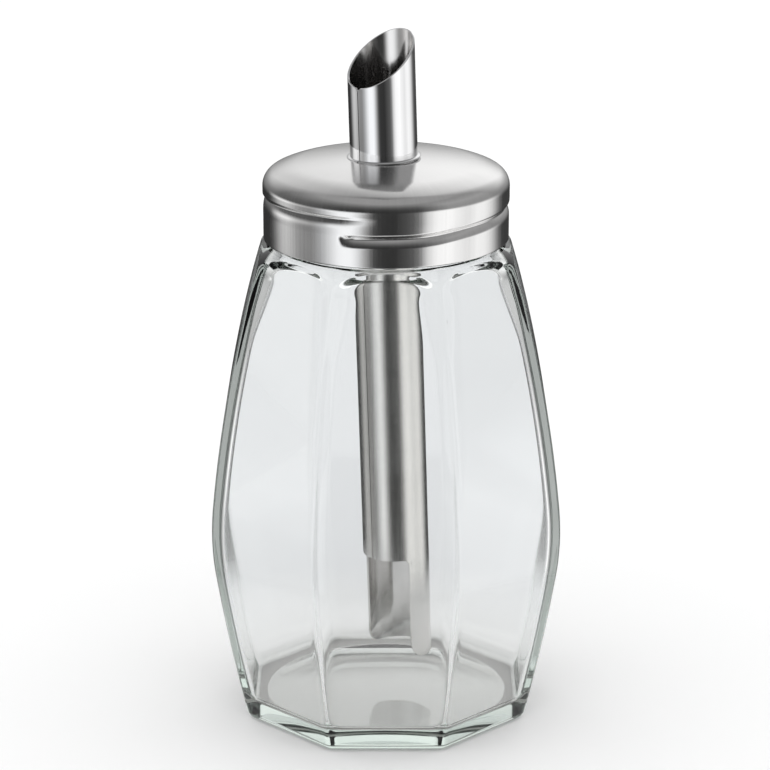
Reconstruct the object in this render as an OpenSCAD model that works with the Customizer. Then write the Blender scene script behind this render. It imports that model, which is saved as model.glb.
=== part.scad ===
// Sugar dispenser with a pour tube: an eight-sided glass jar, a screwed sheet lid,
// a slant-mouthed tube through the lid, a sealing ring and a retaining washer.
// Millimetres. +Z up, the jar's axis is Z, the jar stands on z = 0.
// The camera side of the jar is -Y; angles named "_at" are counted from -Y towards +X.

/* [Jar] */
// Greatest width of the glass across two opposite flats
jar_w = 81; // [78:0.5:86]
// Radius of the long upper curve of each flat
upper_r = 320; // [310:5:335]
// Radius of the long lower curve of each flat
lower_r = 450; // [430:5:480]
// Radius that joins the two curves at the belly
knee_r = 70; // [50:5:80]
// Rounding of the heel
heel_r = 3; // [2:0.5:5]
// Glass thickness of the flats
wall = 3.4; // [2.6:0.1:4]
// Height of the inner floor
floor_z = 5.2; // [4.6:0.1:7]
// Rounding between the inner wall and the inner floor
floor_r = 4; // [3:0.5:6]
// Depth of the hollow under the base
push_up = 1.2; // [0.6:0.1:2]
// Height of the shoulder, where the neck begins
shoulder_z = 115; // [114:0.5:115.2]
// Outer radius of the neck between the threads
neck_r = 26.8; // [26.4:0.1:26.8]
// Radius of the neck's bore
mouth_r = 24.8; // [23:0.1:25]
// Height of the glass rim
rim_z = 129.3; // [129:0.1:129.4]

/* [Thread] */
// Rise of the thread in one turn
pitch = 4.2; // [4.1:0.05:4.4]
// Height of the lid's groove at its lower end
groove_z = 122.5; // [122:0.1:122.8]
// Where the groove starts, degrees from the front towards +X
groove_at = -22; // [-60:1:60]
// Depth of the groove seen from outside
groove_depth = 0.9; // [0.7:0.05:0.95]

/* [Lid] */
// Outer radius of the lid
lid_r = 28.5; // [28.5:0.1:28.9]
// Thickness of the sheet
sheet = 0.4; // [0.3:0.05:0.45]
// Height of the lid's lower edge
lid_z = 115.5; // [115.5:0.1:116]
// Height at which the lid's side starts to round over
lid_top_z = 128; // [127.8:0.1:128.2]
// Radius of the lid's rounded upper corner
corner_r = 3.9; // [3.7:0.1:4.2]
// Radius that eases the corner into the domed top
ease_r = 20; // [16:1:24]
// Slope of the domed top where the easing begins, in degrees
dome_slope = 8; // [7:0.5:9]

/* [Tube] */
// Outer radius of the tube
tube_r = 7.8; // [7.5:0.05:7.9]
// Thickness of the tube's sheet
tube_wall = 0.5; // [0.4:0.05:0.6]
// Lean of the tube away from the upright, in degrees
tube_lean = 1.7; // [0:0.1:2]
// Height of the middle of the slanted mouth
mouth_z = 157.5; // [150:0.5:165]
// Slope of the slanted mouth, in degrees
mouth_slope = 36; // [25:1:45]
// Side on which the seam, the low side of the mouth and the lower window lie
seam_at = -45; // [-60:1:-30]
// Height of the tube's lower end
tube_z = 13.6; // [13.2:0.1:20]
// Height of the top edge of the window cut in the tube
window_z = 38.2; // [30:0.5:45]
// Distance of the window's cut from the tube's axis
window_d = 2.8; // [1:0.1:4]

/* [Seal] */
// Thickness of the sealing ring
seal_t = 1.4; // [1:0.1:1.5]
// Thickness of the retaining washer
washer_t = 0.8; // [0.6:0.1:0.9]

/* [Hidden] */
$fn = 96;
up_z = 24;                       // height of the widest point of the upper curve
lo_z = 105;                      // and of the lower one
c1 = [jar_w / 2 + 1.25 - upper_r, up_z];
c2 = [jar_w / 2 + 4.4 - lower_r, lo_z];
c3 = meet(c1, upper_r - knee_r, c2, lower_r - knee_r);
a1 = atan2(c3[1] - c1[1], c3[0] - c1[0]);
a2 = atan2(c3[1] - c2[1], c3[0] - c2[0]);
flare_r = 150;                   // inner curve under the shoulder
flare_z = 90;                    // where it starts
flare_end = shoulder_z - 2.7;    // where the hollow's own curve ends at the bore
groove_c = lid_r + 0.15;         // radius of the groove's centre line
groove_w = groove_c - (lid_r - groove_depth);
ridge_w = groove_w + sheet;
glass_c = neck_r + 0.05;         // radius of the glass thread's centre line
glass_w = lid_r - sheet - 0.3 - glass_c;
corner_c = [lid_r - corner_r, lid_top_z];
ease_c = corner_c + (corner_r - ease_r) * [sin(25), cos(25)];
dome_r = ease_r + ease_c[0] / sin(dome_slope);
dome_c = ease_c[1] - (dome_r - ease_r) * cos(dome_slope);
apex_z = dome_c + dome_r;
tube_x = -0.5;                   // tube axis at the dome
collar_z = dome_c + sqrt(dome_r * dome_r - 72) + 0.62;
washer_z = apex_z - sheet - 1.7; // underside of the washer

// Right-hand crossing of two circles
function meet(p, rp, q, rq) =
    let (d = norm(q - p), k = (d * d + rp * rp - rq * rq) / (2 * d), h = sqrt(rp * rp - k * k),
         u = (q - p) / d, a = p + k * u, b = a + h * [u[1], -u[0]], c = a - h * [u[1], -u[0]])
    b[0] > c[0] ? b : c;

// Height at x of the line through p at angle a
function on(p, a, x) = p[1] + (x - p[0]) * tan(a);

// Points along an arc, leaving out the first one when skip is 1
function arc(c, r, b0, b1, n, skip = 1) =
    [for (i = [skip:n]) c + r * [cos(b0 + (b1 - b0) * i / n), sin(b0 + (b1 - b0) * i / n)]];

// Side line of a flat in short straight steps, from the floor up: the heel, the lower
// curve, the belly, the upper curve and, in the hollow, the curve under the shoulder.
// It is set back by t, with the floor at zf, the heel rounded by rh and the top at zt.
function side_line(t, zf, rh, zt, flare) =
    let (y4 = zf + rh,
         x4 = c2[0] + sqrt(pow(lower_r - t - rh, 2) - pow(c2[1] - y4, 2)),
         a4 = atan2(y4 - c2[1], x4 - c2[0]),
         a5 = asin((flare_z - up_z) / (upper_r - t)),
         c5 = c1 + (upper_r - t - flare_r) * [cos(a5), sin(a5)],
         a6 = flare ? asin((zt - c5[1]) / flare_r) : asin((zt - up_z) / (upper_r - t)))
    concat(arc([x4, y4], rh, -90, a4, 6, 0),
           arc(c2, lower_r - t, a4, a2, 6),
           arc(c3, knee_r - t, a2, a1, 4),
           arc(c1, upper_r - t, a1, flare ? a5 : a6, flare ? 5 : 9),
           flare ? arc(c5, flare_r, a5, a6, 5) : []);

// Eight curved flats around the axis
module eight(t, zf, rh, zt, flare) {
    side = side_line(t, zf, rh, zt, flare);
    other = [for (i = [len(side) - 1:-1:0]) [-side[i][0], side[i][1]]];
    intersection() {
        slab(0) polygon(concat(side, other));
        slab(45) polygon(concat(side, other));
        slab(90) polygon(concat(side, other));
        slab(135) polygon(concat(side, other));
    }
}
module slab(a) {
    rotate([0, 0, a]) rotate([90, 0, 0]) linear_extrude(height = 120, center = true) children();
}

// One arc of a screw thread: a ring of round section, tilted to the thread's rise.
// It runs from u0 to u1 degrees and its centre line is at z0 where u = 0.
module thread_arc(u0, u1, z0, rc, w) {
    m = (u0 + u1) / 2;
    h = (u1 - u0) / 2;
    tilt = atan(pitch * (u1 - u0) / 360 / (2 * rc * sin(h)));
    translate([0, 0, z0 + pitch * m / 360]) rotate([0, 0, m - 90]) rotate([tilt, 0, 0])
        rotate([0, 0, -h]) rotate_extrude(angle = 2 * h) translate([rc, 0]) circle(r = w, $fn = 48);
}
module thread_ball(u, z0, rc, w) {
    translate([rc * sin(u), -rc * cos(u), z0 + pitch * u / 360]) sphere(r = w, $fn = 48);
}
// Six arcs and the balls that join and end them, one turn and a little more
module screw(u0, z0, rc, w) {
    for (i = [0:5]) thread_arc(u0 + 62 * i + 0.2, u0 + 62 * (i + 1) - 0.2, z0, rc, w);
    for (i = [0:6]) thread_ball(u0 + 62 * i, z0, rc, w + (i == 0 || i == 6 ? 0 : 0.02));
}

// Glass jar: eight curved flats, a round neck with a broken screw thread, a hollow
// that follows the flats with rounded corners, a flat floor and a hollow underside
module jar() {
    z0 = groove_z - pitch * groove_at / 360 + pitch / 2;
    color([0.82, 0.9, 0.87, 0.35]) difference() {
        union() {
            intersection() {
                eight(0, 0, heel_r, shoulder_z + 1, false);
                rotate_extrude() {
                    polygon([[0, -1], [63, -1], [63, 25], [31.91, shoulder_z - 4.28], [25.8, shoulder_z - 6.5], [0, shoulder_z - 6.5]]);
                    intersection() {
                        translate([25.8, shoulder_z - 6.5]) circle(r = 6.5);
                        polygon([[25.8, shoulder_z - 6.5], [31.91, shoulder_z - 4.28], [35, shoulder_z + 1], [25.8, shoulder_z + 1]]);
                    }
                    translate([0, shoulder_z - 6.5]) square([25.8, 6.5]);
                }
            }
            rotate_extrude() {
                translate([0, shoulder_z - 10]) square([neck_r - 1, rim_z - shoulder_z + 10]);
                translate([0, shoulder_z - 10]) square([neck_r, rim_z - shoulder_z + 9]);
                translate([neck_r - 1, rim_z - 1]) intersection() {
                    circle(r = 1);
                    square(2);
                }
            }
            thread_arc(groove_at - 148, groove_at - 71, z0, glass_c, glass_w);
            thread_arc(groove_at - 66, groove_at + 11, z0, glass_c, glass_w);
            thread_arc(groove_at + 16, groove_at + 93, z0, glass_c, glass_w);
            thread_arc(groove_at + 98, groove_at + 175, z0, glass_c, glass_w);
            thread_arc(groove_at + 180, groove_at + 257, z0, glass_c, glass_w);
        }
        intersection() {
            eight(wall, floor_z, floor_r, flare_end, true);
            // rounds the hollow's eight corners and its top
            rotate_extrude() intersection() {
                polygon(concat([[0, floor_z - 3]], side_line(wall - 2.4, floor_z - 3, floor_r + 1, flare_end, true), [[0, flare_end]]));
                union() {
                    polygon([[0, 0], [60, 0], [60, 10], [mouth_r + 2.31, shoulder_z - 4.88], [mouth_r - 0.6, shoulder_z - 5.7], [0, shoulder_z - 5.7]]);
                    intersection() {
                        translate([mouth_r - 0.6, shoulder_z - 5.7]) circle(r = 3);
                        polygon([[mouth_r - 0.6, shoulder_z - 5.7], [mouth_r + 2.28, shoulder_z - 4.84], [mouth_r + 4, shoulder_z], [mouth_r - 0.6, shoulder_z]]);
                    }
                    translate([0, shoulder_z - 5.7]) square([mouth_r - 0.6, 5.7]);
                }
            }
        }
        translate([0, 0, flare_end - 0.4]) cylinder(r = mouth_r, h = rim_z);
        translate([0, 0, rim_z - 0.7]) cylinder(r1 = mouth_r, r2 = mouth_r + 1, h = 1);
        translate([0, 0, push_up - 300]) sphere(r = 300, $fn = 200);
    }
}

// Soft flat ring on the glass rim
module seal_ring() {
    color([0.93, 0.93, 0.9]) translate([0, 0, rim_z + 0.02]) difference() {
        cylinder(r = neck_r - 0.5, h = seal_t);
        translate([0, 0, -1]) cylinder(r = mouth_r - 1, h = seal_t + 2);
    }
}

// Flat steel washer that lies loose between the lid and the tube's lower bead
module retaining_washer() {
    color([0.72, 0.73, 0.74]) translate([0, 0, washer_z]) difference() {
        cylinder(r = 12.5, h = washer_t);
        translate([0, 0, -1]) cylinder(r = tube_r + 0.7, h = washer_t + 2);
    }
}

// Side view of the lid's body, solid, with its surface set in by t: the straight side,
// the corner, the easing curve and the dome meet without a kink
module lid_side(t) {
    a = 90 - dome_slope;
    translate([0, lid_z - (t > 0 ? 5 : 0)]) square([lid_r - t, lid_top_z - lid_z + (t > 0 ? 5 : 0)]);
    intersection() {
        translate(corner_c) circle(r = corner_r - t);
        polygon([corner_c, corner_c + [9, 0], corner_c + [9, 9 * tan(65)], corner_c + 9 * [cos(65), sin(65)]]);
    }
    intersection() {
        translate(ease_c) circle(r = ease_r - t, $fn = 200);
        polygon([corner_c, corner_c + 9 * [cos(65), sin(65)], ease_c + (ease_r + 6) * [cos(a + 5), sin(a + 5)], [ease_c[0], lid_top_z]]);
    }
    intersection() {
        translate([0, dome_c]) circle(r = dome_r - t, $fn = 360);
        polygon([[0, lid_top_z], [ease_c[0] + (lid_top_z - ease_c[1]) / tan(a), lid_top_z], ease_c + (ease_r + 6) * [cos(a), sin(a)], [0, apex_z + 6]]);
    }
}

// Screwed lid of thin sheet: domed top, rounded corner, rolled thread groove
module lid() {
    z0 = groove_z - pitch * groove_at / 360;
    color([0.78, 0.78, 0.79]) difference() {
        rotate_extrude() lid_side(0);
        difference() {
            rotate_extrude() lid_side(sheet);
            screw(groove_at, z0, groove_c, ridge_w);
        }
        screw(groove_at, z0, groove_c, groove_w);
        leaning() translate([0, 0, 120]) cylinder(r = tube_r + 0.04, h = 30);
    }
}

// Along the tube's own leaning axis, which crosses the dome at tube_x
module leaning() {
    translate([tube_x, 0, apex_z]) rotate([0, -tube_lean, 0]) translate([0, 0, -apex_z]) children();
}

// Pour tube rolled from sheet: slanted mouth, butt seam, two rolled beads that hold
// the lid, and a window cut in its lower end
module pour_tube() {
    rise = tan(mouth_slope);
    color([0.76, 0.76, 0.77]) leaning() rotate([0, 0, seam_at]) difference() {
        union() {
            translate([0, 0, tube_z]) cylinder(r = tube_r, h = mouth_z + 12 - tube_z);
            // upper bead, seen as the thin ring on the lid
            translate([0, 0, collar_z]) rotate_extrude() translate([tube_r + 0.35, 0]) circle(r = 0.5, $fn = 48);
            // lower bead, under the washer
            translate([0, 0, washer_z - 1]) rotate_extrude() translate([tube_r + 0.7, 0]) circle(r = 0.8, $fn = 48);
        }
        translate([0, 0, tube_z - 1]) cylinder(r = tube_r - tube_wall, h = mouth_z + 20);
        // slanted mouth, low on the -Y side here
        translate([0, 0, mouth_z]) rotate([mouth_slope, 0, 0]) translate([-30, -40, 0]) cube([60, 80, 40]);
        // window with rounded corners, and the rounded lower corners beside it
        rotate([90, 0, -90]) translate([0, 0, -20]) linear_extrude(height = 40) mirror([1, 0]) {
            difference() {
                translate([-30, 0]) square([30 - window_d, window_z]);
                difference() {
                    translate([-window_d - 1.5, window_z - 1.5]) square(3);
                    translate([-window_d - 1.5, window_z - 1.5]) circle(r = 1.5);
                    translate([-window_d - 4, window_z - 4]) square([2.5, 6]);
                    translate([-window_d - 4, window_z - 4]) square([6, 2.5]);
                }
            }
            difference() {
                translate([-window_d - 1, 0]) square([5, tube_z + 4]);
                translate([-window_d + 4, tube_z + 4]) circle(r = 4);
            }
        }
        // seam: a fine groove outside, a small notch where its corners round at the mouth
        translate([-0.08, -tube_r - 1, 0]) cube([0.16, 1.2, 200]);
        translate([0, 0, mouth_z - tube_r * rise + 0.5]) rotate([90, 0, 0]) linear_extrude(height = 20) polygon([[-1, 1.6], [1, 1.6], [0, -0.5]]);
    }
}

jar();
seal_ring();
retaining_washer();
lid();
pour_tube();
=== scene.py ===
import math

import bpy
import numpy as np
from mathutils.geometry import delaunay_2d_cdt
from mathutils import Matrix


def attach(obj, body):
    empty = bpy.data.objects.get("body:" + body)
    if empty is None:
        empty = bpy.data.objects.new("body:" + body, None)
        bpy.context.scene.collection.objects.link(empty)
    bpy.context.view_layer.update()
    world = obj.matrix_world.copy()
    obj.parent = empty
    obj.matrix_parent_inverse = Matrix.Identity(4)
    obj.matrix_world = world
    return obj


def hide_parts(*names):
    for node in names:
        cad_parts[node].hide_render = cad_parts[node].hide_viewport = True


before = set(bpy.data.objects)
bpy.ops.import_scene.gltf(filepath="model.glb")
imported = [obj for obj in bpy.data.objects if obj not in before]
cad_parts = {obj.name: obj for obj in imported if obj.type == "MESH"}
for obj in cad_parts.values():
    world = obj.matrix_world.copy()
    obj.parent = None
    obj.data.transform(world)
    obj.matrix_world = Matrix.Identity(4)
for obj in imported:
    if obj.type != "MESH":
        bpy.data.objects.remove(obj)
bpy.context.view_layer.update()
MM = 0.001
col = bpy.context.scene.collection


def sm(x, a, b):
    """Smooth step from 0 at a to 1 at b."""
    t = min(1.0, max(0.0, (x - a) / (b - a)))
    return t * t * (3 - 2 * t)


def lerp(table, x):
    xs, ys = zip(*table)
    return float(np.interp(x, xs, ys))


def smin(a, b, k):
    h = np.clip(0.5 + 0.5 * (b - a) / k, 0, 1)
    return b * (1 - h) + a * h - k * h * (1 - h)


# ---------------------------------------------------------------- materials
def mat(name):
    m = bpy.data.materials.new(name)
    m.use_nodes = True
    nt = m.node_tree
    nt.nodes.clear()
    out = nt.nodes.new("ShaderNodeOutputMaterial")
    p = nt.nodes.new("ShaderNodeBsdfPrincipled")
    nt.links.new(p.outputs[0], out.inputs["Surface"])
    return m, nt, p, out


def node(nt, kind, props=None, **values):
    n = nt.nodes.new(kind)
    for k, v in (props or {}).items():
        setattr(n, k, v)
    for k, v in values.items():
        n.inputs[k.replace("_", " ")].default_value = v
    return n


def maths(nt, op, a, b=None, c=None):
    n = nt.nodes.new("ShaderNodeMath")
    n.operation = op
    for i, v in enumerate((a, b, c)):
        if v is None:
            continue
        if isinstance(v, (int, float)):
            n.inputs[i].default_value = v
        else:
            nt.links.new(v, n.inputs[i])
    return n.outputs[0]


def ramp(nt, fac, stops, mode="LINEAR"):
    n = nt.nodes.new("ShaderNodeValToRGB")
    n.color_ramp.interpolation = mode
    el = n.color_ramp.elements
    while len(el) > 1:
        el.remove(el[-1])
    el[0].position = stops[0][0]
    el[0].color = (*stops[0][1], 1) if not isinstance(stops[0][1], float) else (stops[0][1],) * 3 + (1,)
    for pos, c in stops[1:]:
        e = el.new(pos)
        e.color = (*c, 1) if not isinstance(c, float) else (c, c, c, 1)
    nt.links.new(fac, n.inputs[0])
    return n.outputs[0]


def span(nt, value, a, b, lo, hi):
    n = node(nt, "ShaderNodeMapRange", {"clamp": True})
    n.inputs["From Min"].default_value = a
    n.inputs["From Max"].default_value = b
    n.inputs["To Min"].default_value = lo
    n.inputs["To Max"].default_value = hi
    nt.links.new(value, n.inputs["Value"])
    return n.outputs["Result"]


def around(nt, x0=0.0, y0=0.0):
    """Object coordinates as (angle round the axis, height, radius): lengths in metres."""
    tc = nt.nodes.new("ShaderNodeTexCoord")
    sep = nt.nodes.new("ShaderNodeSeparateXYZ")
    nt.links.new(tc.outputs["Object"], sep.inputs[0])
    x = maths(nt, "SUBTRACT", sep.outputs[0], x0)
    y = maths(nt, "SUBTRACT", sep.outputs[1], y0)
    rad = maths(nt, "SQRT", maths(nt, "ADD", maths(nt, "MULTIPLY", x, x), maths(nt, "MULTIPLY", y, y)))
    # unit direction, so that the pattern has no seam
    ux = maths(nt, "DIVIDE", x, maths(nt, "MAXIMUM", rad, 1e-5))
    uy = maths(nt, "DIVIDE", y, maths(nt, "MAXIMUM", rad, 1e-5))
    return ux, uy, rad, sep.outputs[2], tc.outputs["Object"]


def vec(nt, x, y, z):
    n = nt.nodes.new("ShaderNodeCombineXYZ")
    for i, v in enumerate((x, y, z)):
        if isinstance(v, (int, float)):
            n.inputs[i].default_value = v
        else:
            nt.links.new(v, n.inputs[i])
    return n.outputs[0]


def noise(nt, vector, scale, detail=2.0, rough=0.5):
    n = node(nt, "ShaderNodeTexNoise", Scale=scale, Detail=detail, Roughness=rough)
    nt.links.new(vector, n.inputs["Vector"])
    return n.outputs[0]


def bump(nt, height, strength, distance):
    n = node(nt, "ShaderNodeBump", Strength=strength, Distance=distance)
    nt.links.new(height, n.inputs["Height"])
    return n.outputs[0]


# Clear glass, faintly green where it is thick
glass, nt, p, out = mat("clear_glass")
p.inputs["Base Color"].default_value = (1, 1, 1, 1)
p.inputs["Transmission Weight"].default_value = 1.0
p.inputs["Roughness"].default_value = 0.0
p.inputs["IOR"].default_value = 1.52
tc = nt.nodes.new("ShaderNodeTexCoord")
wave = noise(nt, tc.outputs["Object"], 30.0, 1.0)
nt.links.new(bump(nt, wave, 0.25, 0.0005), p.inputs["Normal"])
va = nt.nodes.new("ShaderNodeVolumeAbsorption")
va.inputs["Color"].default_value = (0.50, 0.67, 0.57, 1)
va.inputs["Density"].default_value = 10.0
nt.links.new(va.outputs[0], out.inputs["Volume"])


def steel(name, tint, rough_lo, rough_hi, streak, streak_bump, x0=0.0):
    """Stainless sheet: fine streaks run along Z on the sides, soft clouds everywhere."""
    m, nt, p, out = mat(name)
    p.inputs["Metallic"].default_value = 1.0
    ux, uy, rad, z, obj = around(nt, x0)
    lines = noise(nt, vec(nt, maths(nt, "MULTIPLY", ux, streak), maths(nt, "MULTIPLY", uy, streak), maths(nt, "MULTIPLY", z, 6.0)), 1.0, 3.0, 0.6)
    cloud = noise(nt, obj, 160.0, 3.0)
    both = maths(nt, "ADD", maths(nt, "MULTIPLY", lines, 0.7), maths(nt, "MULTIPLY", cloud, 0.3))
    nt.links.new(span(nt, both, 0.35, 0.65, rough_lo, rough_hi), p.inputs["Roughness"])
    c = ramp(nt, both, [(0.3, tuple(0.93 * t for t in tint)), (0.7, tint)])
    nt.links.new(c, p.inputs["Base Color"])
    if streak_bump:
        nt.links.new(bump(nt, lines, streak_bump, 0.00004), p.inputs["Normal"])
    return m


lid_mat = steel("satin_steel_lid", (0.80, 0.795, 0.79), 0.09, 0.17, 42.0, 0.10)
tube_out = steel("polished_steel_tube", (0.82, 0.82, 0.825), 0.03, 0.07, 30.0, 0.03)
tube_in = steel("brushed_steel_tube", (0.74, 0.73, 0.71), 0.12, 0.20, 60.0, 0.40)
tube_bore = steel("plain_steel_bore", (0.78, 0.77, 0.76), 0.10, 0.18, 40.0, 0.12)
washer_mat = steel("stamped_steel", (0.66, 0.66, 0.66), 0.25, 0.4, 20.0, 0.0)

seal_mat, nt, p, out = mat("soft_white_seal")
tc = nt.nodes.new("ShaderNodeTexCoord")
s = noise(nt, tc.outputs["Object"], 600.0, 3.0)
nt.links.new(ramp(nt, s, [(0.3, (0.80, 0.80, 0.76)), (0.7, (0.88, 0.88, 0.85))]), p.inputs["Base Color"])
nt.links.new(span(nt, s, 0.3, 0.7, 0.42, 0.6), p.inputs["Roughness"])
p.inputs["Subsurface Weight"].default_value = 0.15
p.inputs["Subsurface Radius"].default_value = (0.001, 0.001, 0.0008)


# ---------------------------------------------------------------- meshes
def make(name, verts, faces, material, smooth=True):
    me = bpy.data.meshes.new(name)
    me.from_pydata([tuple(v) for v in verts], [], faces)
    me.validate()
    me.update()
    if smooth:
        me.polygons.foreach_set("use_smooth", [True] * len(me.polygons))
    me.materials.append(material)
    o = bpy.data.objects.new(name, me)
    col.objects.link(o)
    return o


def revolve_rings(rings, cap_lo, cap_hi):
    """Quads between rings of equal length, closed by a point at each end."""
    n = len(rings[0])
    verts = [v for r in rings for v in r]
    faces = []
    for i in range(len(rings) - 1):
        for j in range(n):
            k = (j + 1) % n
            faces.append((i * n + j, i * n + k, (i + 1) * n + k, (i + 1) * n + j))
    if cap_lo is not None:
        verts.append(cap_lo)
        c = len(verts) - 1
        faces += [(c, (j + 1) % n, j) for j in range(n)]
    if cap_hi is not None:
        verts.append(cap_hi)
        c = len(verts) - 1
        b = (len(rings) - 1) * n
        faces += [(c, b + j, b + (j + 1) % n) for j in range(n)]
    return verts, faces


# Jar -----------------------------------------------------------------------
JAR_W, UP_R, LO_R, KNEE, HEEL = 80.95, 320.0, 450.0, 70.0, 3.0
C1 = np.array([JAR_W / 2 + 1.25 - UP_R, 24.0])
C2 = np.array([JAR_W / 2 + 4.4 - LO_R, 105.0])


def meet(p, rp, q, rq):
    d = np.linalg.norm(q - p)
    k = (d * d + rp * rp - rq * rq) / (2 * d)
    h = math.sqrt(rp * rp - k * k)
    u = (q - p) / d
    a = p + k * u
    b, c = a + h * np.array([u[1], -u[0]]), a - h * np.array([u[1], -u[0]])
    return b if b[0] > c[0] else c


C3 = meet(C1, UP_R - KNEE, C2, LO_R - KNEE)
A1 = math.atan2(C3[1] - C1[1], C3[0] - C1[0])
A2 = math.atan2(C3[1] - C2[1], C3[0] - C2[0])


def side(t, z):
    """Distance from the axis to a flat, set back by t, at height z."""
    z1 = C3[1] + (KNEE - t) * math.sin(A1)
    z2 = C3[1] + (KNEE - t) * math.sin(A2)
    if z >= z1:
        return C1[0] + math.sqrt((UP_R - t) ** 2 - (z - C1[1]) ** 2)
    if z >= z2:
        return C3[0] + math.sqrt((KNEE - t) ** 2 - (z - C3[1]) ** 2)
    return C2[0] + math.sqrt((LO_R - t) ** 2 - (z - C2[1]) ** 2)


PER = 36
DEL = []
for i in range(PER):
    v = -1 + 2 * i / PER
    DEL.append(22.5 * (0.40 * v + 0.60 * math.sin(math.pi / 2 * v)))
THETA = np.radians(np.array([45 * k + d for k in range(8) for d in DEL]))
DELTA = np.radians(np.array([d for k in range(8) for d in DEL]))
COS, SIN = np.cos(THETA), np.sin(THETA)
H = math.radians(22.5)


def octagon(a, rho):
    """Radius at each azimuth of an octagon of inner radius a with corners rounded by rho."""
    d = np.abs(DELTA)
    flat = a / np.cos(d)
    dc = (a - rho) / math.cos(H)
    b = H - d
    inside = rho * rho - (dc * np.sin(b)) ** 2
    arc = dc * np.cos(b) + np.sqrt(np.maximum(inside, 0))
    return np.where(a * np.tan(d) > (a - rho) * math.tan(H), arc, flat)


def ring(r, z):
    r = np.broadcast_to(r, COS.shape)
    z = np.broadcast_to(z, COS.shape)
    return np.stack([r * COS, r * SIN, z], axis=1) * MM


def glass_jar():
    rib, inner_rib, wall = 1.6, 4.0, 3.4
    rings = []
    # hollow underside, standing ring
    for r in (0.6, 2, 4, 7, 10, 13, 16, 19, 22, 24.5, 26.0):
        rings.append(ring(r, 1.2 - r * r / 600.0 + 0.0))
    rings.append(ring(26.8, 0.02))
    rings.append(ring(27.3, 0.0))
    x4 = C2[0] + math.sqrt((LO_R - HEEL) ** 2 - (C2[1] - HEEL) ** 2)
    a4 = math.atan2(HEEL - C2[1], x4 - C2[0])
    rings.append(ring(octagon(x4 - 0.9, rib), 0.0))
    for i in range(0, 10):
        b = -math.pi / 2 + (a4 + math.pi / 2) * i / 9
        rings.append(ring(octagon(x4 + HEEL * math.cos(b), rib), HEEL + HEEL * math.sin(b)))
    zt = HEEL + HEEL * math.sin(a4)
    # outer flats
    zs = list(np.linspace(zt, 30, 16))[1:] + list(np.linspace(30, 66, 32))[1:] + list(np.linspace(66, 104, 26))[1:] + [105.3, 106.5, 107.5, 108.5, 109.6]
    for z in zs:
        rings.append(ring(smin(octagon(side(0, z), rib), np.full(COS.shape, 31.91 + (110.72 - z) * 0.364), 0.4), z))
    # shoulder
    for i in range(0, 15):
        f = math.radians(20 + 58 * i / 14)
        z, env = 108.5 + 6.5 * math.sin(f), 25.8 + 6.5 * math.cos(f)
        rings.append(ring(smin(octagon(side(0, z), rib), np.full(COS.shape, env), 0.4), z))
    rings.append(ring(26.9, 114.98))
    rings.append(ring(26.8, 115.15))
    rings.append(ring(26.8, 115.5))
    rings.append(ring(26.8, 121.0))
    rings.append(ring(26.8, 128.3))
    for i in range(1, 6):
        f = math.radians(90 * i / 5)
        rings.append(ring(25.8 + math.cos(f), 128.3 + math.sin(f)))
    rings.append(ring(25.4, 129.22))
    rings.append(ring(25.0, 128.95))
    rings.append(ring(24.8, 128.5))
    rings.append(ring(24.8, 121.0))
    rings.append(ring(24.8, 113.6))
    # hollow: rounded top, flare, flats, floor
    a5 = math.asin((90 - 24) / (UP_R - wall))
    c5 = C1 + (UP_R - wall - 150) * np.array([math.cos(a5), math.sin(a5)])

    def a_in(z):
        return c5[0] + math.sqrt(150 ** 2 - (z - c5[1]) ** 2) if z > 90 else side(wall, z)

    for i in range(0, 19):
        f = math.radians(90 - 85 * i / 18)
        z, env = 107.8 + 4.4 * math.sin(f), 22.6 + 5.0 * math.cos(f)
        r = smin(octagon(a_in(z), inner_rib), np.full(COS.shape, env), 0.3)
        rings.append(ring(-smin(-r, np.full(COS.shape, -24.8), 0.1), z))
    for z in [107.4, 106.4, 105.2] + list(np.linspace(104, 66, 26)) + list(np.linspace(66, 30, 32))[1:] + list(np.linspace(30, 8.5, 12))[1:]:
        env = 27.6 + (108.0 - z) * 0.38
        rings.append(ring(smin(octagon(a_in(z), inner_rib), np.full(COS.shape, env), 0.5), z))
    floor_z, fr = 5.2, 2.4
    y4 = floor_z + fr
    x4 = C2[0] + math.sqrt((LO_R - wall - fr) ** 2 - (C2[1] - y4) ** 2)
    a4 = math.atan2(y4 - C2[1], x4 - C2[0])
    for i in range(0, 13):
        b = a4 + (-math.pi / 2 - a4) * i / 12
        rings.append(ring(octagon(x4 + fr * math.cos(b), inner_rib + 0.25 * i), y4 + fr * math.sin(b)))
    for r in (0.85, 0.7, 0.55, 0.4, 0.25, 0.1):
        rings.append(ring(octagon(x4 * r, 8.0 * r), floor_z - 0.0))
    verts, faces = revolve_rings(rings, (0, 0, 1.2 * MM), (0, 0, floor_z * MM))
    return make("glass_jar", verts, faces, glass)


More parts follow.
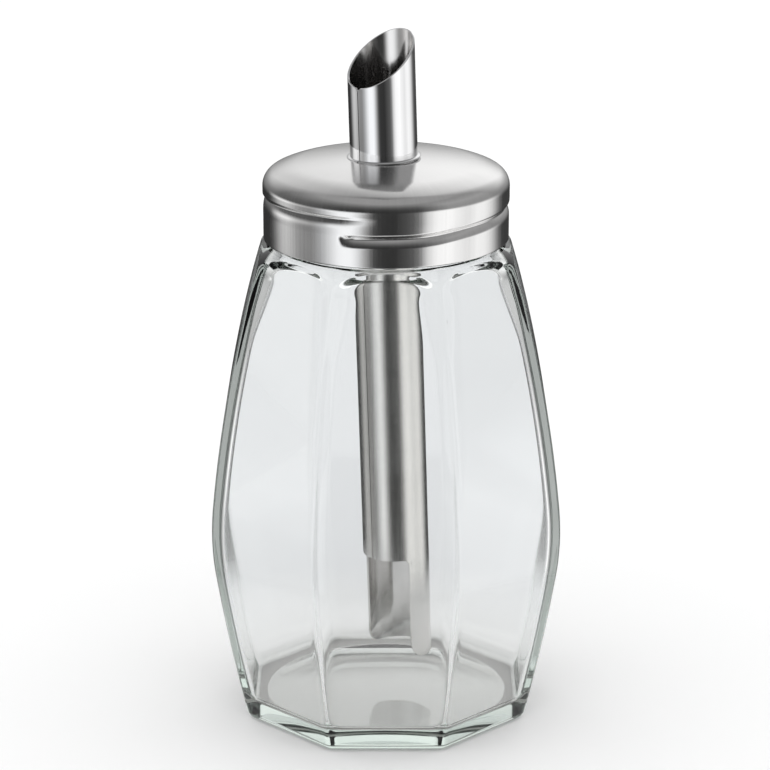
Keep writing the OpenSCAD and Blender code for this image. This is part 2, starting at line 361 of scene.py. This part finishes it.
def thread_ridges():
    """The moulded thread on the neck: five raised arcs with faded ends."""
    z0 = 122.5 + 4.2 * 22 / 360 + 2.1
    verts, faces = [], []
    for s0, s1 in ((-148, -71), (-66, 11), (16, 93), (98, 175), (180, 257)):
        u0, u1 = s0 - 22, s1 - 22
        n, m = 40, 10
        base = len(verts)
        for i in range(n + 1):
            u = u0 + (u1 - u0) * i / n
            fade = min(1.0, math.sqrt(max(0.0, 1 - (1 - min(1, (min(i, n - i)) / 3.0)) ** 2)) + 0.02)
            for j in range(m):
                f = 2 * math.pi * j / m
                rr = 26.75 + 0.95 * fade * math.cos(f)
                zz = z0 + 4.2 * u / 360 + 0.95 * fade * math.sin(f)
                a = math.radians(u)
                verts.append((rr * math.sin(a) * MM, -rr * math.cos(a) * MM, zz * MM))
        for i in range(n):
            for j in range(m):
                k = (j + 1) % m
                faces.append((base + i * m + j, base + i * m + k, base + (i + 1) * m + k, base + (i + 1) * m + j))
        faces.append(tuple(base + j for j in range(m))[::-1])
        faces.append(tuple(base + n * m + j for j in range(m)))
    return make("glass_thread", verts, faces, glass)


# Lid -------------------------------------------------------------------------
LID_R, CORNER_R, EASE_R, TOP_Z = 28.5, 3.9, 20.0, 128.0
S1, S2 = math.radians(8), math.radians(25)
EASE = np.array([LID_R - CORNER_R + (CORNER_R - EASE_R) * math.sin(S2), TOP_Z + (CORNER_R - EASE_R) * math.cos(S2)])
DOME_R = EASE_R + EASE[0] / math.sin(S1)
DOME_C = EASE[1] - (DOME_R - EASE_R) * math.cos(S1)
APEX = DOME_C + DOME_R
EDGE_R = DOME_R * math.sin(S1)


def lid_top(t):
    """Outline of the rounded corner as (r, z), set in by t, from the dome out to the side."""
    out = []
    for i in range(0, 13):
        f = S1 + (S2 - S1) * i / 12
        out.append((EASE[0] + (EASE_R - t) * math.sin(f), EASE[1] + (EASE_R - t) * math.cos(f)))
    for i in range(1, 21):
        f = S2 + (math.pi / 2 - S2) * i / 20
        out.append((LID_R - CORNER_R + (CORNER_R - t) * math.sin(f), TOP_Z + (CORNER_R - t) * math.cos(f)))
    return out


# Rolled groove: height over 115.5 along the turn, depth, and the reach of its upper and lower slope
PATH = [(-30, 6.25), (-22, 6.3), (-10, 6.4), (0, 6.5), (16, 6.55), (24, 6.75), (31, 7.05), (40, 7.35), (50, 7.5), (75, 7.8),
        (90, 8.0), (180, 8.8), (240, 9.5), (270, 10.0), (290, 10.5), (300, 10.75), (320, 10.85), (340, 11.0), (360, 11.05)]
DEPTH = [(-22, 0), (-20, 0.35), (-15, 0.75), (0, 0.85), (25, 0.85), (45, 0.75), (90, 0.8), (240, 0.8), (270, 0.65), (300, 0.5), (325, 0.4), (340, 0.28), (350, 0.1), (356, 0), (360, 0)]
REACH_UP = [(-24, 1.4), (100, 1.3), (250, 0.9), (300, 0.75)]
REACH_LO = [(-24, 2.1), (100, 2.2), (250, 3.0), (300, 3.4)]


def steel_lid():
    R, SH, LZ, TZ = LID_R, 0.4, 115.5, TOP_Z
    dc = APEX - DOME_R
    n = 480
    az = np.arange(n) * 2 * math.pi / n          # from the front (-Y) towards +X
    deg = np.degrees(az)

    def groove(z):
        """How far the wall is rolled in at height z, for every azimuth."""
        h = z - 115.5
        d = np.zeros(n)
        for turn in (0, 360):
            u = deg - 360 + turn
            ok = (u >= -24) & (u <= 358)
            zc = np.interp(u, *zip(*PATH))
            dep = np.interp(u, *zip(*DEPTH))
            x = (h - zc)
            up = 0.5 + 0.5 * np.cos(np.pi * np.clip(x / np.interp(u, *zip(*REACH_UP)), 0, 1))
            low = (1 - np.clip(-x / np.interp(u, *zip(*REACH_LO)), 0, 1)) ** 2
            g = np.where(x > 0, up, low)
            d = np.maximum(d, np.where(ok, dep * g, 0))
        return d

    def bulge(z):
        h = z - 115.5
        return 0.12 * (1 - sm(h, 7.0, 10.0))

    outer, inner = [], []
    # dome from the hole to the corner
    hole = 8.05
    rr = [hole, 8.3, 8.7, 9.2, 10, 11.5, 13, 14.5, 16, 17.5, 18.6, 19.5, EDGE_R - 0.3]
    prof = []
    for r in rr:
        prof.append((r, dc + math.sqrt(DOME_R ** 2 - r * r), 0))
    top_out, top_in = lid_top(0), lid_top(SH)
    for i, (r, z) in enumerate(top_out):
        prof.append((r, z, 100 + i))
    zs = list(np.arange(TZ - 0.14, LZ + 0.35, -0.14))
    for z in zs:
        prof.append((R, z, 2))
    rings = []

    def put(r, z, off=0.0):
        x = r * np.sin(az) + off
        y = -r * np.cos(az)
        rings.append(np.stack([x, y, np.broadcast_to(z, x.shape)], axis=1) * MM)

    for r, z, kind in prof:
        off = -0.5 * (1 - sm(r, 8.0, 14.0))
        r2 = r
        if kind:
            r2 = r - groove(z) - bulge(z)
        put(r2, z, off)
    # lower edge: turned in a little and rounded
    b = R - bulge(LZ)
    for f in (20, 50, 80, 110, 140, 165):
        t = math.radians(f)
        put(b - 0.27 + 0.27 * math.cos(t), LZ + 0.3 - 0.3 * math.sin(t))
    # inside, back up
    for r, z, kind in reversed(prof):
        if kind == 2:
            put(R - SH - bulge(z) - groove(z), z)
        elif kind >= 100:
            r1, z1 = top_in[kind - 100]
            put(r1 - groove(z) - bulge(z), z1)
        else:
            off = -0.5 * (1 - sm(r, 8.0, 14.0))
            put(r, z - SH, off)
    m = len(rings)
    verts = np.concatenate(rings)
    faces = []
    for i in range(m):
        i2 = (i + 1) % m
        for j in range(n):
            k = (j + 1) % n
            faces.append((i * n + j, i2 * n + j, i2 * n + k, i * n + k))
    return make("steel_lid", verts, faces, lid_mat)


# Pour tube -------------------------------------------------------------------
TR, TW, LEAN = 7.8, 0.5, math.radians(1.7)
TZ0, WZ, WD, MZ, SLOPE = 13.6, 38.2, 2.8, 157.36, math.radians(36)
COLLAR = APEX - DOME_R + math.sqrt(DOME_R ** 2 - 72) + 0.26
LOWER = APEX - 0.4 - 1.7 - 1.0


def tube_point(phi, z, r):
    """phi from the seam, towards +X round the front; z along the leaning axis."""
    a = math.radians(-45) + phi
    x, y = r * math.sin(a), -r * math.cos(a)
    zz = z - APEX
    return ((-0.5 + x * math.cos(LEAN) - zz * math.sin(LEAN)) * MM, y * MM, (APEX + zz * math.cos(LEAN) + x * math.sin(LEAN)) * MM)


def pour_tube():
    circ = 2 * math.pi
    gap = 0.20 / TR
    win = math.acos(WD / TR)                       # half width of the window
    # outline of the flat sheet, s = angle from the seam, 0..2pi, z up
    def top(s):
        return MZ - TR * math.cos(s) * math.tan(SLOPE)

    pts = []
    s0, s1 = gap / 2, circ - gap / 2
    step = math.radians(2.0)
    # window top edge from the seam to its corner, r 1.5
    rc = 1.5 / TR
    n = int((win - rc - s0) / step)
    for i in range(n + 1):
        pts.append((s0 + (win - rc - s0) * i / n, WZ))
    for i in range(1, 7):
        f = math.radians(90 * i / 6)
        pts.append((win - rc + rc * math.sin(f), WZ - 1.5 + 1.5 * math.cos(f)))
    for z in np.linspace(WZ - 1.5, TZ0 + 4, 16)[1:]:
        pts.append((win, float(z)))
    rt = 4.0 / TR
    for i in range(1, 9):
        f = math.radians(90 * i / 8)
        pts.append((win + rt - rt * math.cos(f), TZ0 + 4 - 4 * math.sin(f)))
    a, b = win + rt, circ - win - rt
    n = int((b - a) / step)
    for i in range(1, n + 1):
        pts.append((a + (b - a) * i / n, TZ0))
    for i in range(1, 9):
        f = math.radians(90 * i / 8)
        pts.append((circ - win - rt + rt * math.sin(f), TZ0 + 4 - 4 * math.cos(f)))
    for z in np.linspace(TZ0 + 4, WZ - 1.5, 16)[1:]:
        pts.append((circ - win, float(z)))
    for i in range(1, 7):
        f = math.radians(90 * i / 6)
        pts.append((circ - win + rc - rc * math.cos(f), WZ - 1.5 + 1.5 * math.sin(f)))
    n = int((s1 - (circ - win + rc)) / step)
    for i in range(1, n + 1):
        pts.append((circ - win + rc + (s1 - (circ - win + rc)) * i / n, WZ))
    # seam edge up
    rows = seam_rows()
    tz = top(0) - 1.0
    for z in rows:
        if WZ + 0.5 < z < tz - 0.2:
            pts.append((s1, float(z)))
    pts.append((s1, tz))
    # rounded corners of the sheet at the mouth, r about 1
    rk = 1.0 / TR
    for i in range(1, 7):
        f = math.radians(90 * i / 6)
        s = s1 - rk + rk * math.cos(f)
        pts.append((s, tz + (top(s) - tz) * math.sin(f)))
    a, b = s1 - rk, s0 + rk
    n = int((a - b) / math.radians(2.0))
    for i in range(1, n + 1):
        s = a + (b - a) * i / n
        pts.append((s, top(s)))
    for i in range(1, 7):
        f = math.radians(90 * i / 6)
        s = s0 + rk - rk * math.sin(f)
        pts.append((s, tz + (top(s) - tz) * math.cos(f)))
    for z in reversed(rows):
        if WZ + 0.5 < z < tz - 0.2:
            pts.append((s0, float(z)))
    outline = [(s * TR, z) for s, z in pts]
    nb = len(outline)
    poly = np.array(outline)
    # inner points
    inner = []
    for z in rows:
        for i in range(1, 90):
            s = s0 + (s1 - s0) * i / 90
            inner.append((s * TR, float(z)))
    inner = np.array(inner)
    # keep those well inside the outline
    keep = inside(inner, poly) & (dist(inner, poly) > 0.22)
    inner = inner[keep]
    pts2 = [tuple(q) for q in outline] + [tuple(q) for q in inner]
    edges = [(i, (i + 1) % nb) for i in range(nb)]
    vs, _, fs, _, _, _ = delaunay_2d_cdt(pts2, edges, [], 1, 1e-7)
    flat = np.array([(v[0], v[1]) for v in vs])
    assert len(flat) == len(pts2)
    verts, faces = [], []

    def swell(z):
        d = z - COLLAR
        up = 0.75 * max(0.0, 1 - (d / 0.30) ** 2) ** 0.5 if abs(d) < 0.30 else 0.0
        d = z - LOWER
        lo = 1.2 * (0.5 + 0.5 * math.cos(math.pi * min(1, abs(d) / 1.0)))
        return up + lo

    for s, z in flat:
        verts.append(tube_point(s / TR, z, TR + swell(z)))
    nv = len(flat)
    for s, z in flat:
        verts.append(tube_point(s / TR, z, TR - TW + swell(z)))
    # rounded middle of the cut edge
    for i in range(nb):
        p0, p1, p2 = poly[i - 1], poly[i], poly[(i + 1) % nb]
        t = p2 - p0
        nrm = np.array([t[1], -t[0]]) / (np.linalg.norm(t) + 1e-9)
        q = p1 + nrm * (0.0 if abs(p1[0] - s0 * TR) < 0.01 or abs(p1[0] - s1 * TR) < 0.01 else 0.12)
        verts.append(tube_point(q[0] / TR, q[1], TR - TW / 2 + swell(q[1])))
    for f in fs:
        faces.append(tuple(f))
        faces.append(tuple(nv + v for v in f)[::-1])
    for i in range(nb):
        j = (i + 1) % nb
        faces.append((i, 2 * nv + i, 2 * nv + j, j))
        faces.append((2 * nv + i, nv + i, nv + j, 2 * nv + j))
    o = make("steel_pour_tube", verts, faces, tube_out)
    import bmesh
    bm = bmesh.new()
    bm.from_mesh(o.data)
    bmesh.ops.recalc_face_normals(bm, faces=bm.faces)
    # the cut edges stay crisp
    for e in bm.edges:
        if len(e.link_faces) == 2 and e.calc_face_angle(0) > math.radians(30):
            e.smooth = False
    # the part inside the jar is brushed
    o.data.materials.append(tube_in)
    o.data.materials.append(tube_bore)
    for f in bm.faces:
        c = f.calc_center_median()
        ax = -0.5 * MM - (c.z - APEX * MM) * math.tan(LEAN)
        if max(math.hypot(v.co.x - (-0.5 * MM - (v.co.z - APEX * MM) * math.tan(LEAN)), v.co.y) for v in f.verts) < (TR - TW + 0.1) * MM:
            f.material_index = 2
        elif c.z < (APEX - 3) * MM:
            f.material_index = 1
    bm.to_mesh(o.data)
    bm.free()
    return o


def seam_rows():
    z = list(np.arange(TZ0 + 1.0, COLLAR - 5.6, 2.5))
    z += list(np.arange(COLLAR - 5.4, COLLAR - 1.0, 0.2)) + list(np.arange(COLLAR - 0.45, COLLAR + 0.46, 0.04))
    z += list(np.arange(COLLAR + 1.4, MZ + 6.5, 0.8))
    return z


def inside(q, poly):
    r = np.zeros(len(q), bool)
    x0, y0 = poly[:, 0], poly[:, 1]
    x1, y1 = np.roll(x0, -1), np.roll(y0, -1)
    for a, b, c, d in zip(x0, y0, x1, y1):
        if b == d:
            continue
        c1 = (b > q[:, 1]) != (d > q[:, 1])
        xi = (c - a) * (q[:, 1] - b) / (d - b) + a
        r ^= c1 & (q[:, 0] < xi)
    return r


def dist(q, poly):
    best = np.full(len(q), 1e9)
    for i in range(len(poly)):
        a, b = poly[i], poly[(i + 1) % len(poly)]
        ab = b - a
        t = np.clip(((q - a) @ ab) / (ab @ ab + 1e-12), 0, 1)
        best = np.minimum(best, np.linalg.norm(q - (a + t[:, None] * ab), axis=1))
    return best


jar = glass_jar()
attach(jar, "jar")
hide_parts("jar")
thread = thread_ridges()
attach(thread, "jar")
lid = steel_lid()
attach(lid, "lid")
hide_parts("lid")
tube = pour_tube()
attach(tube, "lid")
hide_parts("pour_tube")
for name, m in (("seal_ring", seal_mat), ("retaining_washer", washer_mat)):
    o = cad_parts[name]
    o.data.materials.clear()
    o.data.materials.append(m)

# ---------------------------------------------------------------- stage, light, camera
floor_mat, nt, p, out = mat("pale_floor")
tc = nt.nodes.new("ShaderNodeTexCoord")
f1 = noise(nt, tc.outputs["Object"], 9.0, 2.0)
pale = ramp(nt, f1, [(0.3, (0.875, 0.875, 0.875)), (0.7, (0.885, 0.885, 0.885))])
# painted shade: where the floor is seen through the glass, farther than 4 to 9 cm from the jar's axis, its colour is
# multiplied darker
shade = nt.nodes.new("ShaderNodeMix")
shade.data_type = "RGBA"
shade.blend_type = "MULTIPLY"
nt.links.new(pale, shade.inputs[6])
shade.inputs[7].default_value = (0.84, 0.85, 0.87, 1)
nt.links.new(shade.outputs[2], p.inputs["Base Color"])
p.inputs["Roughness"].default_value = 0.9
p.inputs["Specular IOR Level"].default_value = 0.0
floor = make("floor", [(-4, -4, 0), (4, -4, 0), (4, 4, 0), (-4, 4, 0)], [(0, 1, 2, 3)], floor_mat, smooth=False)
lp = nt.nodes.new("ShaderNodeLightPath")
see = nt.nodes.new("ShaderNodeBsdfTransparent")
mix = nt.nodes.new("ShaderNodeMixShader")
away = nt.nodes.new("ShaderNodeVectorMath")
away.operation = "LENGTH"
nt.links.new(tc.outputs["Object"], away.inputs[0])
far = span(nt, away.outputs["Value"], 0.085, 0.110, 0.0, 1.0)
mirrored = maths(nt, "GREATER_THAN", lp.outputs["Glossy Depth"], 0.5)
lit = maths(nt, "LESS_THAN", lp.outputs["Diffuse Depth"], 0.5)
nt.links.new(maths(nt, "MULTIPLY", maths(nt, "MULTIPLY", mirrored, lit), far), mix.inputs[0])
# mask of the painted shade: floor seen through the glass, fading in from 4 to 9 cm off the axis
through = maths(nt, "MULTIPLY", maths(nt, "GREATER_THAN", lp.outputs["Transmission Depth"], 0.5), lit)
nt.links.new(maths(nt, "MULTIPLY", through, span(nt, away.outputs["Value"], 0.04, 0.09, 0.0, 1.0)), shade.inputs[0])
# painted light: where the floor is seen through the glass, it glows warm cream within about 3 cm of the jar's axis
painted_glow = nt.nodes.new("ShaderNodeMath")
painted_glow.operation = "MULTIPLY"
nt.links.new(through, painted_glow.inputs[0])
nt.links.new(span(nt, away.outputs["Value"], 0.029, 0.036, 0.24, 0.0), painted_glow.inputs[1])
p.inputs["Emission Color"].default_value = (1.0, 0.985, 0.955, 1)
nt.links.new(painted_glow.outputs[0], p.inputs["Emission Strength"])
nt.links.new(p.outputs[0], mix.inputs[1])
nt.links.new(see.outputs[0], mix.inputs[2])
nt.links.new(mix.outputs[0], out.inputs["Surface"])

world = bpy.data.worlds.new("studio")
bpy.context.scene.world = world
world.use_nodes = True
nt = world.node_tree
nt.nodes.clear()
wout = nt.nodes.new("ShaderNodeOutputWorld")
bg = nt.nodes.new("ShaderNodeBackground")
nt.links.new(bg.outputs[0], wout.inputs[0])
tc = nt.nodes.new("ShaderNodeTexCoord")
sep = nt.nodes.new("ShaderNodeSeparateXYZ")
nt.links.new(tc.outputs["Generated"], sep.inputs[0])
# azimuth from the front (-Y) towards +X as -1..1, elevation in degrees
azm = maths(nt, "DIVIDE", maths(nt, "ARCTAN2", sep.outputs[0], maths(nt, "MULTIPLY", sep.outputs[1], -1.0)), math.pi)
ele = maths(nt, "MULTIPLY", maths(nt, "ARCSINE", sep.outputs[2]), 180 / math.pi)
pos = maths(nt, "ADD", maths(nt, "MULTIPLY", azm, 0.5), 0.5)


def at(deg):
    return (deg + 180) / 360


def band(left, right):
    """Brightness by azimuth; the left side of the studio differs with height."""
    return ramp(nt, pos, [(at(a), tuple(v * t for t in ((0.985, 1.0, 1.02) if -70 < a < -20 else (1.0, 1.0, 1.0)))) for a, v in left + right])


right = [(8, 0.037), (26, 0.12), (32, 0.25), (39, 0.85), (48, 1.18), (62, 1.24), (74, 1.04), (83, 0.97), (94, 1.14), (105, 1.10), (114, 0.85), (123, 0.55), (131, 0.22), (140, 0.06), (180, 0.05)]
under = band([(-180, 0.05), (-138, 0.04), (-130, 0.14), (-122, 0.34), (-114, 0.55), (-104, 0.60), (-92, 0.36), (-82, 0.26), (-72, 0.27), (-63, 0.46), (-53, 0.85), (-44, 1.18), (-33, 1.22), (-26, 0.90), (-20, 0.42), (-13, 0.09), (-6, 0.044)], right)
over = band([(-180, 0.10), (-150, 0.05), (-136, 0.15), (-128, 0.80), (-122, 1.14), (-104, 1.25), (-98, 1.00), (-90, 0.72), (-72, 0.50), (-60, 0.80), (-53, 1.20), (-30, 1.22), (-22, 0.90), (-16, 0.35), (-10, 0.05)], [(a, v * 1.05) for a, v in right])
low_mix = nt.nodes.new("ShaderNodeMix")
low_mix.data_type = "RGBA"
nt.links.new(span(nt, ele, -15, -9, 0.0, 1.0), low_mix.inputs[0])
nt.links.new(under, low_mix.inputs[6])
nt.links.new(over, low_mix.inputs[7])
low = low_mix.outputs[2]
# above the lamps: a dim room that brightens a little towards the ceiling
dim_up = ramp(nt, span(nt, ele, -10, 90, 0.0, 1.0), [(0.0, 0.03), (0.15, 0.035), (0.25, 0.05), (0.36, 0.09), (0.44, 0.15), (0.55, 0.25), (0.65, 0.35), (1.0, 0.35)])
dim_side = ramp(nt, pos, [(at(a), v) for a, v in ((-180, 0.12), (-110, 0.10), (-70, 0.06), (-40, 0.01), (0, 0.0), (30, 0.02), (60, 0.30), (110, 0.30), (140, 0.10), (180, 0.10))])
dim_add = nt.nodes.new("ShaderNodeMix")
dim_add.data_type = "RGBA"
dim_add.blend_type = "ADD"
nt.links.new(span(nt, ele, 28, 50, 1.0, 0.0), dim_add.inputs[0])
nt.links.new(dim_up, dim_add.inputs[6])
nt.links.new(dim_side, dim_add.inputs[7])
dim = dim_add.outputs[2]
front = nt.nodes.new("ShaderNodeMix")
front.data_type = "RGBA"
# the lamps' upper ends show only in what is mirrored twice, as the tube in the dome
lp = nt.nodes.new("ShaderNodeLightPath")
twice = maths(nt, "GREATER_THAN", lp.outputs["Glossy Depth"], 1.5)
once = maths(nt, "SUBTRACT", 1.0, twice)
fade = maths(nt, "ADD", maths(nt, "MULTIPLY", span(nt, ele, -10, -1, 0.0, 1.0), once), maths(nt, "MULTIPLY", span(nt, maths(nt, "ADD", ele, span(nt, azm, 10 / 180, 25 / 180, 0.0, 14.0)), 12, 36, 0.0, 1.0), twice))
nt.links.new(fade, front.inputs[0])
nt.links.new(low, front.inputs[6])
nt.links.new(dim, front.inputs[7])
back_pos = span(nt, ele, -30, 90, 0.0, 1.0)


def ae(deg):
    return (deg + 30) / 120


back = ramp(nt, back_pos, [(ae(a), v) for a, v in (
    (-30, 0.04), (-13, 0.05), (-8, 0.18), (-4, 0.33), (4, 0.52), (10, 0.78), (15, 1.03), (20, 1.13), (28, 1.08), (34, 1.00), (42, 0.88), (48, 0.78), (58, 0.62), (70, 0.36), (90, 0.20))])
# dimmer on the left than on the right
side_of = maths(nt, "MULTIPLY", maths(nt, "ARCTAN2", sep.outputs[0], sep.outputs[1]), 180 / math.pi)
backm = nt.nodes.new("ShaderNodeMix")
backm.data_type = "RGBA"
backm.blend_type = "MULTIPLY"
backm.inputs[0].default_value = 1.0
nt.links.new(back, backm.inputs[6])
nt.links.new(span(nt, side_of, -15, 5, 0.68, 1.0), backm.inputs[7])
absaz = maths(nt, "ABSOLUTE", azm)
isback = span(nt, absaz, 116 / 180, 160 / 180, 0.0, 1.0)
studio = nt.nodes.new("ShaderNodeMix")
studio.data_type = "RGBA"
nt.links.new(isback, studio.inputs[0])
nt.links.new(front.outputs[2], studio.inputs[6])
nt.links.new(backm.outputs[2], studio.inputs[7])
plain = nt.nodes.new("ShaderNodeMix")
plain.data_type = "RGBA"
direct = maths(nt, "MAXIMUM", maths(nt, "LESS_THAN", lp.outputs["Glossy Depth"], 0.5), maths(nt, "GREATER_THAN", lp.outputs["Diffuse Depth"], 0.5))
# inside the glass the plain surround makes up part of what is mirrored
within = maths(nt, "MULTIPLY", maths(nt, "COMPARE", lp.outputs["Transmission Depth"], 1.5, 1.0), 0.34)
nt.links.new(maths(nt, "MAXIMUM", direct, within), plain.inputs[0])
nt.links.new(studio.outputs[2], plain.inputs[6])
plain.inputs[7].default_value = (1.20, 1.20, 1.20, 1)
nt.links.new(plain.outputs[2], bg.inputs["Color"])
bg.inputs["Strength"].default_value = 1.0

cam = bpy.data.cameras.new("camera")
cam_o = bpy.data.objects.new("camera", cam)
col.objects.link(cam_o)
cam.sensor_width = 36.0
cam.lens = 3197.3 / 770 * 36.0
cam.clip_start = 0.05
cam.clip_end = 30
cam.shift_x = -(386.08 - 385.0) / 770
cam_o.location = (0, -0.71592, 0.30682)
cam_o.rotation_euler = (math.pi / 2 - 0.3076, 0, 0)
bpy.context.scene.camera = cam_o

sc = bpy.context.scene
sc.view_settings.view_transform = "Standard"
sc.view_settings.look = "None"
sc.cycles.use_denoising = True
sc.cycles.max_bounces = 24
sc.cycles.transmission_bounces = 24
sc.cycles.glossy_bounces = 10
sc.cycles.transparent_max_bounces = 16
sc.cycles.diffuse_bounces = 4
